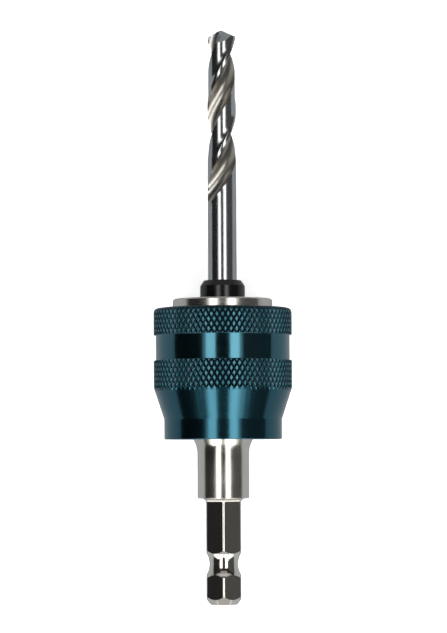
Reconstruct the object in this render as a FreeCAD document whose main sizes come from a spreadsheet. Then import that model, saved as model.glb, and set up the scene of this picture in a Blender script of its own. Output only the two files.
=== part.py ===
import FreeCAD, Part

# Quick-change hole saw arbor with a hexagon shank, a pull-back release sleeve and a pilot drill.
# The arbor lies on its sleeve with its axis along +X, the drill's point towards +X and +Z up.
# The origin is on the axis, in the plane of the head's front face, where a hole saw seats.
# Every piece is drawn upright about its own Z axis, with stations counted from the shank's end.

import math
import os

import Sketcher
from FreeCAD import Placement, Rotation, Vector

# Driving dimensions, in millimetres unless the note says otherwise
SIZES = [
    ("hex_across_flats", 8.7, "shank across its flats"),
    ("hex_length", 25.2, "shank's end to the root of its fillets"),
    ("hex_corner_radius", 0.75, "rounding of the six long edges"),
    ("end_bevel_width", 1.0, "bevel on the shank's end, from the flats inwards"),
    ("end_bevel_length", 1.3, "the same bevel along the axis"),
    ("chuck_groove_station", 10.1, "middle of the chuck's ball groove"),
    ("chuck_groove_depth", 0.78, "below the flats"),
    ("chuck_groove_radius", 4.8, "arc of the groove's section"),
    ("root_fillet", 1.2, "hollow that each flat and corner of the shank ends in"),
    ("barrel_ledge", 0.7, "flat beyond that hollow, on the barrel's rear face"),
    ("barrel_length", 12.42, "to the corner of the flare"),
    ("barrel_edge", 0.2, "bevel on the barrel's rear edge"),
    ("flare_length", 2.71, "cone from barrel to neck"),
    ("flare_rise", 1.15, "radial, from the barrel to the neck that the sleeve runs on"),
    ("flare_blend", 6.0, "fillet where the cone leaves the barrel"),
    ("neck_length", 23.27, "flare to the head's underside"),
    ("head_floor", 2.4, "head's underside to the socket's floor"),
    ("head_rim", 1.733, "radial, from the socket's countersink to the head's outside"),
    ("head_edge", 0.35, "bevel on the head's front edge"),
    ("socket_across_flats", 18.0, "drive socket for the saw's hub"),
    ("socket_depth", 8.9, "floor to the head's front face"),
    ("mouth_margin", 0.3, "countersink outside the socket's corners"),
    ("running_gap", 0.05, "radial, sleeve on neck and on head"),
    ("saw_ball_diameter", 4.0, "three balls that hold the saw"),
    ("saw_ball_height", 2.3, "their station, above the socket's floor"),
    ("drill_ball_diameter", 4.7625, "two balls that hold the drill"),
    ("drill_ball_height", 2.5, "their station, above the drill's stop"),
    ("drill_ball_room", 0.42, "between these balls and the end of the bush's stem"),
    ("ball_gap", 0.03, "a ball in its hole or on its cam"),
    ("lip_gap", 0.04, "a ball from the lip under it"),
    ("lip_thickness", 0.4, "wall that keeps a ball from falling inwards"),
    ("cam_slope", 0.25, "ball travel for each unit of sleeve travel"),
    ("sleeve_travel", 3.2, "pull towards the shank"),
    ("tail_clearance", 0.125, "radial, bore in the neck round the drill's tail"),
    ("front_lip", 1.1, "cam's end to the sleeve's front"),
    ("skirt_wall", 2.05, "sleeve's rear cylinder, outside its spring chamber"),
    ("skirt_length", 5.05, "length of that cylinder"),
    ("taper_length", 7.8, "cone between skirt and grip"),
    ("grip_wall", 4.775, "knurled bands, outside the bore that runs on the head"),
    ("rear_band_length", 6.85, "knurled band beside the taper"),
    ("waist_depth", 0.55, "plain band, below the knurled ones"),
    ("waist_length", 6.35, "length of the plain band"),
    ("front_band_length", 6.7, "knurled band at the front"),
    ("front_rounding", 1.1, "sleeve's front outer edge"),
    ("band_edge", 0.15, "bevel on the edges of the knurled bands"),
    ("skirt_edge", 0.3, "bevel on the sleeve's rear outer edge"),
    ("chamber_edge", 0.5, "bevel at the counterbore's mouth"),
    ("web_land", 3.28, "plain bore of the sleeve's inner wall, behind the drill's cam"),
    ("cam_land", 0.5, "cam left beyond the saw balls at full travel"),
    ("ring_setback", 2.82, "retaining ring, from the flare's end"),
    ("ring_thickness", 1.0, "retaining ring"),
    ("ring_groove_depth", 0.4, "its groove in the neck"),
    ("ring_groove_gap", 0.05, "on each side of the ring"),
    ("ring_width", 2.1, "radial, opposite the gap"),
    ("ring_offset", 0.35, "ring's outer circle off the axis"),
    ("ring_mouth", 4.0, "gap between the ring's ends"),
    ("lug_radius", 1.5, "eyes at the ring's ends"),
    ("lug_hole", 0.8, "radius of the holes for the pliers"),
    ("washer_thickness", 1.0, "washer that backs the spring"),
    ("washer_width", 4.95, "radial, and with its gaps the room for the spring"),
    ("washer_gap", 0.05, "radial, washer in the sleeve and on the neck"),
    ("spring_wire", 1.6, "wire diameter"),
    ("spring_half_turns", 7, "count of half turns, a plain number"),
    ("spring_gap", 0.04, "spring's end to the sleeve's web"),
    ("bush_height", 13.55, "socket's floor to the bush's front"),
    ("bush_rim", 0.685, "radial, flat ring on the bush's front"),
    ("bush_bevel_width", 0.95, "bevel round that ring"),
    ("bush_bevel_length", 1.4, "the same bevel along the axis"),
    ("bush_stem_wall", 0.985, "stem pressed into the head, outside the drill's bore"),
    ("bush_stem_length", 3.2, "below the socket's floor"),
    ("bush_mouth", 0.35, "countersink round the drill"),
    ("drill_fit", 0.04, "radial, drill in the bush"),
    ("drill_diameter", 7.15, "pilot drill"),
    ("drill_length", 85.0, "tail to point"),
    ("tail_length", 11.8, "tail's end to the round shank"),
    ("tail_bevel", 0.4, "on the tail's end"),
    ("tail_seat_gap", 0.3, "tail's shoulder to the hexagon bore's end"),
    ("tail_groove_ease", 0.21, "tail's groove wider in radius than its balls"),
    ("tail_groove_gap", 0.03, "a locked ball from the groove's bottom"),
    ("flute_start", 40.8, "run-out of the flutes, from the tail's end"),
    ("flute_runout", 9.0, "length over which the flutes reach full depth"),
    ("flute_run_in", 0.15, "first step of the run-out, too shallow to cut"),
    ("flute_lead", 40.3, "axial length of one full turn"),
    ("flute_side_station", 79.25, "where the flutes lie sideways"),
    ("flute_opening", 93.0, "degrees that each flute spans on the outside"),
    ("web_at_point", 1.5, "thickness of the core at the point"),
    ("web_gain", 0.024, "growth of the core for each unit of length"),
    ("relief_start", 54.8, "start of the body clearance"),
    ("relief_depth", 0.22, "body clearance behind the margins"),
    ("margin_angle", 14.0, "degrees that each margin spans"),
    ("point_angle", 135.0, "degrees across the lips"),
    ("lip_relief", 12.0, "degrees that each flank falls behind its lip"),
    ("heel_relief", 48.0, "degrees that each heel facet falls, which splits the point"),
    ("heel_turn", 20.0, "degrees that a heel facet is turned past its lip"),
    ("heel_offset", 0.2, "distance of a heel facet behind the point"),
    ("grinding_stock", 0.5, "length of the blank beyond the point"),
]

doc = FreeCAD.newDocument("hole_saw_arbor")
sheet = doc.addObject("Spreadsheet::Sheet", "Sizes")
for row, (alias, number, note) in enumerate(SIZES, start=1):
    sheet.set(f"A{row}", alias)
    sheet.set(f"B{row}", str(number))
    sheet.setAlias(f"B{row}", alias)
    sheet.set(f"C{row}", note)
doc.recompute()


class Size:
    """A size worked out from the sheet: its value now and the formula that keeps it bound."""

    def __init__(self, value, formula):
        self.value = value
        self.formula = formula

    @staticmethod
    def of(item):
        return item if isinstance(item, Size) else Size(float(item), repr(float(item)))

    def joined(self, sign, other, value):
        return Size(value, f"({self.formula} {sign} {other.formula})")

    def __add__(self, item):
        other = Size.of(item)
        return self.joined("+", other, self.value + other.value)

    def __sub__(self, item):
        other = Size.of(item)
        return self.joined("-", other, self.value - other.value)

    def __mul__(self, item):
        other = Size.of(item)
        return self.joined("*", other, self.value * other.value)

    def __truediv__(self, item):
        other = Size.of(item)
        return self.joined("/", other, self.value / other.value)

    def __neg__(self):
        return Size.of(0) - self


ZERO = Size.of(0)
HALF = 0.5
CORNER_PER_FLAT = 2 / math.sqrt(3)
FLATS_PER_CORNER = 1 / CORNER_PER_FLAT
TOOL_REACH = 1.0
SAW_BALLS = 3
DRILL_BALLS = 2


def named(alias):
    return Size(float(sheet.get(alias)), f"Sizes.{alias}")


def square_root(size):
    return Size(math.sqrt(size.value), f"sqrt({size.formula})")


def corner_radius(across_flats):
    """Radius of the circle through the corners of a hexagon."""
    return across_flats * (CORNER_PER_FLAT * HALF)


def leg(long_side, short_side):
    """The third side of a right-angled triangle with this longest side."""
    return square_root(long_side * long_side - short_side * short_side)


# Radii that more than one piece shares
shank_flat = named("hex_across_flats") * HALF
barrel_radius = shank_flat + named("root_fillet") + named("barrel_ledge") + named("barrel_edge")
neck_radius = barrel_radius + named("flare_rise")
socket_mouth_radius = corner_radius(named("socket_across_flats")) + named("mouth_margin")
head_radius = socket_mouth_radius + named("head_rim")
web_bore_radius = neck_radius + named("running_gap")
head_bore_radius = head_radius + named("running_gap")
grip_radius = head_bore_radius + named("grip_wall")
chamber_radius = neck_radius + named("washer_gap") * 2 + named("washer_width")
ring_seat_radius = neck_radius - named("ring_groove_depth")
drill_radius = named("drill_diameter") * HALF
tail_flats = named("drill_diameter") * FLATS_PER_CORNER
pilot_bore_radius = drill_radius + named("tail_clearance")
guide_radius = drill_radius + named("drill_fit")
stem_radius = guide_radius + named("bush_stem_wall")
saw_ball_radius = named("saw_ball_diameter") * HALF
drill_ball_radius = named("drill_ball_diameter") * HALF

# Each locked ball touches the bore behind it, so its centre follows from that bore
saw_ball_centre = head_bore_radius - named("ball_gap") - saw_ball_radius
drill_ball_centre = web_bore_radius - drill_ball_radius

# A cam's cone that touches a ball lies this much further out at the ball's own station
cam_slope = named("cam_slope")
cam_lean = square_root(cam_slope * cam_slope + 1)
saw_cam_radius = saw_ball_centre + (saw_ball_radius + named("ball_gap")) * cam_lean
drill_cam_radius = drill_ball_centre + (drill_ball_radius + named("ball_gap")) * cam_lean

# Stations along the arbor's axis, counted from the shank's end
barrel_at = named("hex_length") + named("root_fillet")
flare_at = barrel_at + named("barrel_length")
neck_at = flare_at + named("flare_length")
ring_at = neck_at + named("ring_setback")
washer_at = ring_at + named("ring_thickness")
spring_at = washer_at + named("washer_thickness")
head_at = neck_at + named("neck_length")
floor_at = head_at + named("head_floor")
seat_at = floor_at + named("socket_depth")
stem_at = floor_at - named("bush_stem_length")
drill_ball_at = stem_at - named("drill_ball_room") - drill_ball_radius
drill_at = drill_ball_at - named("drill_ball_height")
drill_cam_at = drill_ball_at - (drill_cam_radius - web_bore_radius) / cam_slope
web_at = drill_cam_at - named("web_land")
saw_ball_at = floor_at + named("saw_ball_height")
saw_cam_at = saw_ball_at - (saw_cam_radius - head_bore_radius) / cam_slope
saw_cam_end_at = saw_ball_at + named("sleeve_travel") - saw_ball_radius * cam_slope + named("cam_land")
sleeve_front_at = saw_cam_end_at + named("front_lip")
front_band_at = sleeve_front_at - named("front_band_length")
waist_at = front_band_at - named("waist_length")
rear_band_at = waist_at - named("rear_band_length")
taper_at = rear_band_at - named("taper_length")
skirt_at = taper_at - named("skirt_length")


def place_on_axis(station):
    """Lays a piece that is drawn about Z along +X, with its own zero at this station."""
    return Placement(Vector(station.value - seat_at.value, 0, 0), Rotation(Vector(0, 1, 0), 90))


lying = place_on_axis(ZERO)


def new_body(name):
    body = doc.addObject("PartDesign::Body", name)
    body.Label = name
    return body


def origin_feature(body, role):
    return next(item for item in body.Origin.OriginFeatures if item.Role == role)


def new_sketch(body, name, plane="XZ_Plane", height=None):
    sketch = body.newObject("Sketcher::SketchObject", name)
    sketch.AttachmentSupport = [(origin_feature(body, plane), "")]
    sketch.MapMode = "FlatFace"
    if height is not None:
        sketch.setExpression("AttachmentOffset.Base.z", height.formula)
    return sketch


def fix_distance(sketch, kind, geometry, end, size):
    """Holds one coordinate of a point, measured from the sketch's origin."""
    if abs(size.value) < 1e-9:
        axis = -2 if kind == "DistanceX" else -1
        sketch.addConstraint(Sketcher.Constraint("PointOnObject", geometry, end, axis))
        return
    index = sketch.addConstraint(Sketcher.Constraint(kind, -1, 1, geometry, end, size.value))
    sketch.setExpression(f"Constraints[{index}]", size.formula)


def hollow_arc(start, end, radius):
    """An arc between two points whose centre lies to the right of the way from start to end."""
    chord = end - start
    sideways = Vector(chord.y, -chord.x, 0).normalize()
    rise = math.sqrt(radius * radius - chord.Length * chord.Length / 4)
    centre = start + chord * HALF + sideways * rise
    angles = [math.atan2(point.y - centre.y, point.x - centre.x) for point in (end, start)]
    return Part.ArcOfCircle(Part.Circle(centre, Vector(0, 0, 1), radius), angles[0], angles[1])


def draw_outline(sketch, corners):
    """Draws a closed outline through (across, along) corners.

    A third value in a corner is the radius of an arc that leaves it, curving about a centre on
    the right-hand side, and any other side is straight.
    """
    points = [Vector(corner[0].value, corner[1].value, 0) for corner in corners]
    first_ends = []
    last_ends = []
    for index, corner in enumerate(corners):
        start = points[index]
        end = points[(index + 1) % len(points)]
        if len(corner) == 3:
            geometry = sketch.addGeometry(hollow_arc(start, end, corner[2].value))
            first_ends.append((geometry, 2))
            last_ends.append((geometry, 1))
            bound = sketch.addConstraint(Sketcher.Constraint("Radius", geometry, corner[2].value))
            sketch.setExpression(f"Constraints[{bound}]", corner[2].formula)
        else:
            geometry = sketch.addGeometry(Part.LineSegment(start, end))
            first_ends.append((geometry, 1))
            last_ends.append((geometry, 2))
    for index, corner in enumerate(corners):
        sketch.addConstraint(Sketcher.Constraint("Coincident", *last_ends[index - 1], *first_ends[index]))
        fix_distance(sketch, "DistanceX", *first_ends[index], corner[0])
        fix_distance(sketch, "DistanceY", *first_ends[index], corner[1])


def turned(body, name, corners, kind="PartDesign::Revolution", plane="XZ_Plane"):
    """Revolves an outline of (radius, station) corners about the body's own Z axis."""
    sketch = new_sketch(body, f"{name}_outline", plane)
    draw_outline(sketch, corners)
    feature = body.newObject(kind, name)
    feature.Profile = sketch
    feature.ReferenceAxis = (sketch, ["V_Axis"])
    feature.Angle = 360
    return feature


def turned_out(body, name, corners):
    return turned(body, name, corners, "PartDesign::Groove")


def hexagon_sketch(body, name, across_flats, height=None):
    """A hexagon about the axis, with a corner on the X axis."""
    sketch = new_sketch(body, name, "XY_Plane", height)
    corner = corner_radius(across_flats)
    flat = across_flats * HALF
    near = corner * HALF
    draw_outline(
        sketch,
        [(corner, ZERO), (near, flat), (-near, flat), (-corner, ZERO), (-near, -flat), (near, -flat)],
    )
    return sketch


def stepped_side_hole(body, name, plane, station, holes, count):
    """Radial holes, each turned about a line at this station, repeated round the axis.

    holes lists (start radius, end radius, hole radius) from the inside outwards.
    """
    sketch = new_sketch(body, f"{name}_outline", plane)
    corners = [(holes[0][0], station)]
    for inner, outer, radius in holes:
        corners += [(inner, station + radius), (outer, station + radius)]
    corners.append((holes[-1][1], station))
    draw_outline(sketch, corners)
    last_side = len(corners) - 1
    feature = body.newObject("PartDesign::Groove", name)
    feature.Profile = sketch
    feature.ReferenceAxis = (sketch, [f"Edge{last_side + 1}"])
    feature.Angle = 360
    doc.recompute()
    pattern = body.newObject("PartDesign::PolarPattern", f"{name}_pattern")
    pattern.Originals = [feature]
    pattern.Axis = (origin_feature(body, "Z_Axis"), [""])
    pattern.Angle = 360
    pattern.Occurrences = count
    body.Tip = pattern
    return pattern


def circles_at(feature, radius, station):
    """Names of the feature's circular edges with this radius at this station."""
    found = []
    for index, edge in enumerate(feature.Shape.Edges, start=1):
        if not isinstance(edge.Curve, Part.Circle):
            continue
        if abs(edge.Curve.Radius - radius.value) < 1e-4 and abs(edge.Curve.Center.z - station.value) < 1e-4:
            found.append(f"Edge{index}")
    return found


def level_edges_inside(feature, radius, station):
    """Names of the feature's edges that lie at this station and wholly inside this radius."""
    found = []
    for index, edge in enumerate(feature.Shape.Edges, start=1):
        box = edge.BoundBox
        level = abs(box.ZMin - station.value) < 1e-4 and abs(box.ZMax - station.value) < 1e-4
        reach = max(abs(box.XMin), abs(box.XMax), abs(box.YMin), abs(box.YMax))
        if level and reach < radius.value - 1e-4:
            found.append(f"Edge{index}")
    return found


def upright_edges(feature):
    """Names of the feature's straight edges that run along the axis."""
    found = []
    for index, edge in enumerate(feature.Shape.Edges, start=1):
        if isinstance(edge.Curve, Part.Line) and abs(edge.tangentAt(edge.FirstParameter).z) > 0.999:
            found.append(f"Edge{index}")
    return found


def rounded(body, name, feature, edges, radius):
    fillet = body.newObject("PartDesign::Fillet", name)
    fillet.Base = (feature, edges)
    fillet.setExpression("Radius", radius.formula)
    body.Tip = fillet
    return fillet


def make_mandrel():
    """Shank, barrel, neck and socketed head, turned and milled from one bar and nickel plated."""
    body = new_body("mandrel_body")
    flat = shank_flat

    # Hexagon shank with rounded long edges, running into the barrel's face
    pad = body.newObject("PartDesign::Pad", "shank")
    pad.Profile = hexagon_sketch(body, "shank_outline", named("hex_across_flats"))
    pad.setExpression("Length", barrel_at.formula)
    doc.recompute()
    rounded(body, "shank_edges", pad, upright_edges(pad), named("hex_corner_radius"))
    doc.recompute()

    # Bevelled end, wide enough to cross the corners
    slope = named("end_bevel_length") / named("end_bevel_width")
    reach = flat * CORNER_PER_FLAT
    bevel_top = named("end_bevel_length") + (reach - flat) * slope
    turned_out(
        body,
        "end_bevel",
        [(flat - named("end_bevel_width"), ZERO), (reach, bevel_top), (reach, ZERO)],
    )

    # Ball groove for the chuck
    groove_radius = named("chuck_groove_radius")
    groove_centre = flat - named("chuck_groove_depth") + groove_radius
    sketch = new_sketch(body, "chuck_groove_outline")
    middle = Vector(groove_centre.value, named("chuck_groove_station").value, 0)
    sketch.addGeometry(Part.Circle(middle, Vector(0, 0, 1), groove_radius.value))
    radius_bound = sketch.addConstraint(Sketcher.Constraint("Radius", 0, groove_radius.value))
    sketch.setExpression(f"Constraints[{radius_bound}]", groove_radius.formula)
    fix_distance(sketch, "DistanceX", 0, 3, groove_centre)
    fix_distance(sketch, "DistanceY", 0, 3, named("chuck_groove_station"))
    groove = body.newObject("PartDesign::Groove", "chuck_groove")
    groove.Profile = sketch
    groove.ReferenceAxis = (sketch, ["V_Axis"])
    groove.Angle = 360
    doc.recompute()

    # Barrel, flare, neck with the ring's groove, and head
    edge = named("barrel_edge")
    rim = named("head_edge")
    ring_groove_at = ring_at - named("ring_groove_gap")
    ring_groove_end = washer_at + named("ring_groove_gap")
    turned(
        body,
        "barrel_and_head",
        [
            (ZERO, barrel_at),
            (barrel_radius - edge, barrel_at),
            (barrel_radius, barrel_at + edge),
            (barrel_radius, flare_at),
            (neck_radius, neck_at),
            (neck_radius, ring_groove_at),
            (ring_seat_radius, ring_groove_at),
            (ring_seat_radius, ring_groove_end),
            (neck_radius, ring_groove_end),
            (neck_radius, head_at),
            (head_radius, head_at),
            (head_radius, seat_at - rim),
            (head_radius - rim, seat_at),
            (ZERO, seat_at),
        ],
    )
    doc.recompute()
    flare_corner = circles_at(body.Tip, barrel_radius, flare_at)
    rounded(body, "flare_blend_fillet", body.Tip, flare_corner, named("flare_blend"))
    doc.recompute()
    root = level_edges_inside(body.Tip, barrel_radius - edge, barrel_at)
    rounded(body, "root_fillets", body.Tip, root, named("root_fillet"))
    doc.recompute()

    # Hexagon socket with a countersunk mouth
    socket = body.newObject("PartDesign::Pocket", "socket")
    socket.Profile = hexagon_sketch(body, "socket_outline", named("socket_across_flats"), seat_at)
    socket.setExpression("Length", named("socket_depth").formula)
    doc.recompute()
    mouth = socket_mouth_radius
    socket_flat = named("socket_across_flats") * HALF
    turned_out(
        body,
        "socket_mouth",
        [(socket_flat, seat_at), (socket_flat, seat_at - (mouth - socket_flat)), (mouth, seat_at)],
    )

    # Blind bore for the drill's tail and seat of the bush's stem
    turned_out(
        body,
        "pilot_bore",
        [
            (ZERO, drill_at),
            (pilot_bore_radius, drill_at),
            (pilot_bore_radius, stem_at),
            (stem_radius, stem_at),
            (stem_radius, floor_at),
            (ZERO, floor_at),
        ],
    )
    doc.recompute()

    # Ball holes, each with a lip that keeps its ball from falling inwards
    saw_lip = socket_flat + named("lip_thickness")
    saw_lip_hole = leg(saw_ball_radius + named("lip_gap"), saw_ball_centre - saw_lip)
    stepped_side_hole(
        body,
        "saw_ball_holes",
        "YZ_Plane",
        saw_ball_at,
        [
            (socket_flat - TOOL_REACH, saw_lip, saw_lip_hole),
            (saw_lip, head_radius + TOOL_REACH, saw_ball_radius + named("ball_gap")),
        ],
        SAW_BALLS,
    )
    drill_lip = pilot_bore_radius + named("lip_thickness")
    drill_lip_hole = leg(drill_ball_radius + named("lip_gap"), drill_ball_centre - drill_lip)
    stepped_side_hole(
        body,
        "drill_ball_holes",
        "XZ_Plane",
        drill_ball_at,
        [
            (pilot_bore_radius - TOOL_REACH, drill_lip, drill_lip_hole),
            (drill_lip, neck_radius + TOOL_REACH, drill_ball_radius + named("ball_gap")),
        ],
        DRILL_BALLS,
    )
    body.Placement = lying
    return body


def make_sleeve():
    """Anodised grip that is pulled towards the shank, with both ball cams turned in its bore."""
    body = new_body("release_sleeve")
    skirt = chamber_radius + named("skirt_wall")
    grip = grip_radius
    waist = grip - named("waist_depth")
    edge = named("band_edge")
    drill_cam_end = web_bore_radius + (head_at - drill_cam_at) * cam_slope
    saw_cam_end = head_bore_radius + (saw_cam_end_at - saw_cam_at) * cam_slope
    turned(
        body,
        "turned_form",
        [
            (chamber_radius + named("chamber_edge"), skirt_at),
            (skirt - named("skirt_edge"), skirt_at),
            (skirt, skirt_at + named("skirt_edge")),
            (skirt, taper_at),
            (grip - edge, rear_band_at - edge),
            (grip, rear_band_at),
            (grip, waist_at - edge),
            (grip - edge, waist_at),
            (waist, waist_at),
            (waist, front_band_at),
            (grip - edge, front_band_at),
            (grip, front_band_at + edge),
            (grip, sleeve_front_at),
            (saw_cam_end, sleeve_front_at),
            (saw_cam_end, saw_cam_end_at),
            (head_bore_radius, saw_cam_at),
            (head_bore_radius, head_at),
            (drill_cam_end, head_at),
            (web_bore_radius, drill_cam_at),
            (web_bore_radius, web_at),
            (chamber_radius, web_at),
            (chamber_radius, skirt_at + named("chamber_edge")),
        ],
    )
    doc.recompute()
    front_corner = circles_at(body.Tip, grip, sleeve_front_at)
    rounded(body, "front_edge", body.Tip, front_corner, named("front_rounding"))
    body.Placement = lying
    return body


def make_bush():
    """Black steel bush that centres the saw outside and guides and drives the drill inside."""
    body = new_body("pilot_bush")
    top = floor_at + named("bush_height")
    bore = guide_radius
    mouth = named("bush_mouth")
    outside = bore + mouth + named("bush_rim") + named("bush_bevel_width")
    hexagon_end = drill_at + named("tail_length") - named("tail_seat_gap")
    turned(
        body,
        "turned_form",
        [
            (bore, stem_at),
            (stem_radius, stem_at),
            (stem_radius, floor_at),
            (outside, floor_at),
            (outside, top - named("bush_bevel_length")),
            (outside - named("bush_bevel_width"), top),
            (bore + mouth, top),
            (bore, top - mouth),
        ],
    )
    # The hexagon seat is left standing inside the lower part of the bore
    doc.recompute()
    across = tail_flats + named("drill_fit") * 2
    ring = hexagon_sketch(body, "hexagon_seat_outline", across, stem_at)
    backing = bore + mouth
    outer = ring.addGeometry(Part.Circle(Vector(0, 0, 0), Vector(0, 0, 1), backing.value))
    ring.addConstraint(Sketcher.Constraint("Coincident", outer, 3, -1, 1))
    bound = ring.addConstraint(Sketcher.Constraint("Radius", outer, backing.value))
    ring.setExpression(f"Constraints[{bound}]", backing.formula)
    seat = body.newObject("PartDesign::Pad", "hexagon_seat")
    seat.Profile = ring
    seat.setExpression("Length", (hexagon_end - stem_at).formula)
    body.Placement = lying
    return body


def make_ball(name, radius, centre_radius, station, angle):
    """A hardened ball at an angle about the axis, measured from the drawing's X axis."""
    ball = doc.addObject("Part::Sphere", name)
    ball.Label = name
    ball.setExpression("Radius", radius.formula)
    turn = math.radians(angle)
    across = Vector(centre_radius.value * math.cos(turn), centre_radius.value * math.sin(turn), station.value)
    ball.Placement = lying.multiply(Placement(across, Rotation()))
    return ball


def make_washer():
    """Flat washer between the retaining ring and the spring."""
    body = new_body("spring_washer")
    gap = named("washer_gap")
    turned(
        body,
        "turned_form",
        [
            (neck_radius + gap, washer_at),
            (chamber_radius - gap, washer_at),
            (chamber_radius - gap, spring_at),
            (neck_radius + gap, spring_at),
        ],
    )
    body.Placement = lying
    return body


def cylinder(name, radius, height, base):
    piece = doc.addObject("Part::Cylinder", name)
    piece.setExpression("Radius", radius.formula)
    piece.setExpression("Height", height.formula)
    for axis, size in zip("xyz", base):
        piece.setExpression(f"Placement.Base.{axis}", size.formula)
    return piece


def boolean(kind, name, base, tool):
    result = doc.addObject(kind, name)
    result.Base = base
    result.Tool = tool
    return result


def make_retaining_ring():
    """External snap ring with an eye at each end for the pliers."""
    thickness = named("ring_thickness")
    outer_radius = ring_seat_radius + named("ring_width") - named("ring_offset")
    outer = cylinder("ring_outside", outer_radius, thickness, (named("ring_offset"), ZERO, ZERO))
    # The eyes sit astride the ring's narrow end, just outside its seat
    lug = named("lug_radius")
    lug_out = ring_seat_radius + lug
    lug_side = named("ring_mouth") * HALF + lug
    lug_back = leg(lug_out, lug_side)
    shape = outer
    holes = []
    for label, side in (("left", lug_side), ("right", -lug_side)):
        eye = cylinder(f"ring_eye_{label}", lug, thickness, (-lug_back, side, ZERO))
        shape = boolean("Part::Fuse", f"ring_with_{label}_eye", shape, eye)
        holes.append(cylinder(f"ring_hole_{label}", named("lug_hole"), thickness, (-lug_back, side, ZERO)))
    inside = cylinder("ring_inside", ring_seat_radius, thickness, (ZERO, ZERO, ZERO))
    mouth = doc.addObject("Part::Box", "ring_gap")
    mouth_length = lug_out + lug + TOOL_REACH
    mouth.setExpression("Length", mouth_length.formula)
    mouth.setExpression("Width", named("ring_mouth").formula)
    mouth.setExpression("Height", thickness.formula)
    mouth.setExpression("Placement.Base.x", (-mouth_length).formula)
    mouth.setExpression("Placement.Base.y", (-named("ring_mouth") * HALF).formula)
    for label, tool in (("bored", inside), ("split", mouth), ("drilled_left", holes[0])):
        shape = boolean("Part::Cut", f"ring_{label}", shape, tool)
    ring = boolean("Part::Cut", "retaining_ring", shape, holes[1])
    ring.Label = "retaining_ring"
    ring.Placement = place_on_axis(ring_at)
    return ring


def make_spring():
    """Round-wire compression spring with ground ends, between the washer and the sleeve's web.

    Each half turn is a tilted half ring that leaves and arrives level, so the coil climbs smoothly.
    """
    length = web_at - named("spring_gap") - spring_at
    mean = (neck_radius + chamber_radius) * HALF
    wire = named("spring_wire")
    count = round(named("spring_half_turns").value)
    rise = length / count
    ring_radius = square_root(mean * mean + rise * rise / 4)
    tilt = math.degrees(math.asin(rise.value / 2 / ring_radius.value))
    halves = []
    for index in range(count):
        half = doc.addObject("Part::Torus", f"spring_half_turn_{index + 1}")
        half.setExpression("Radius1", ring_radius.formula)
        half.setExpression("Radius2", (wire * HALF).formula)
        half.Angle3 = 180
        half.setExpression("Placement.Base.z", (rise * (index + HALF)).formula)
        side = Rotation(Vector(0, 0, 1), 180 * (index % 2))
        half.Placement.Rotation = side.multiply(Rotation(Vector(0, 1, 0), tilt))
        halves.append(half)
    coil = doc.addObject("Part::MultiFuse", "spring_coil")
    coil.Shapes = halves
    between = cylinder("spring_between_ends", mean + wire, length, (ZERO, ZERO, ZERO))
    spring = boolean("Part::Common", "sleeve_spring", coil, between)
    spring.Label = "sleeve_spring"
    spring.Placement = place_on_axis(spring_at)
    return spring


def flute_angle(station):
    """Direction of a flute's middle at a station of the drill, in radians from the X axis."""
    turns = (station - named("flute_side_station").value) / named("flute_lead").value
    return math.pi / 2 + 2 * math.pi * turns


def drill_section(station, relieved):
    """Outline of the twisted drill at a station: two round flutes and two lands.

    A relieved land is cut back behind its margin, which stands at its leading edge.
    """
    radius = drill_radius.value
    start = named("flute_start").value
    grown = min(1.0, (station - start) / named("flute_runout").value)
    swell = math.sin(math.pi / 2 * grown)
    from_point = named("drill_length").value - station
    full_web = named("web_at_point").value + named("web_gain").value * from_point
    web = radius - (radius - full_web / 2) * swell
    half_opening = math.radians(named("flute_opening").value / 2) * math.sqrt(swell)
    land = radius - (named("relief_depth").value if relieved else 0.0)
    margin = math.radians(named("margin_angle").value)

    def at(distance, angle):
        turned_by = angle + flute_angle(station)
        return Vector(distance * math.cos(turned_by), distance * math.sin(turned_by), station)

    edges = []
    for side in (0.0, math.pi):
        lip = at(radius, side - half_opening)
        heel = at(land, side + half_opening)
        edges.append(Part.Arc(lip, at(web, side), heel).toShape())
        land_start = side + half_opening
        land_end = side + math.pi - half_opening
        next_lip = at(radius, land_end)
        if relieved:
            margin_start = land_end - margin
            step = at(land, margin_start)
            top = at(radius, margin_start)
            edges.append(Part.Arc(heel, at(land, (land_start + margin_start) / 2), step).toShape())
            edges.append(Part.makeLine(step, top))
            edges.append(Part.Arc(top, at(radius, land_end - margin / 2), next_lip).toShape())
        else:
            edges.append(Part.Arc(heel, at(radius, (land_start + land_end) / 2), next_lip).toShape())
    return Part.Wire(edges)


SECTIONS_PER_TURN = 20
FEWEST_STEPS = 3


def lofted_flutes(name, first, last, relieved):
    """Twisted part of the drill between two stations, lofted through its sections."""
    turns = (last - first) / named("flute_lead").value
    steps = max(FEWEST_STEPS, math.ceil(SECTIONS_PER_TURN * turns))
    stations = [first + (last - first) * index / steps for index in range(steps + 1)]
    piece = doc.addObject("Part::Feature", name)
    piece.Shape = Part.makeLoft([drill_section(station, relieved) for station in stations], True, False)
    return piece


def grinding_block(name, pose, size):
    """A block whose underside lies in the plane through a pose's origin."""
    block = doc.addObject("Part::Box", name)
    block.Length = size
    block.Width = size
    block.Height = size
    block.Placement = pose.multiply(Placement(Vector(-size / 2, -size / 2, 0), Rotation()))
    return block


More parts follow.
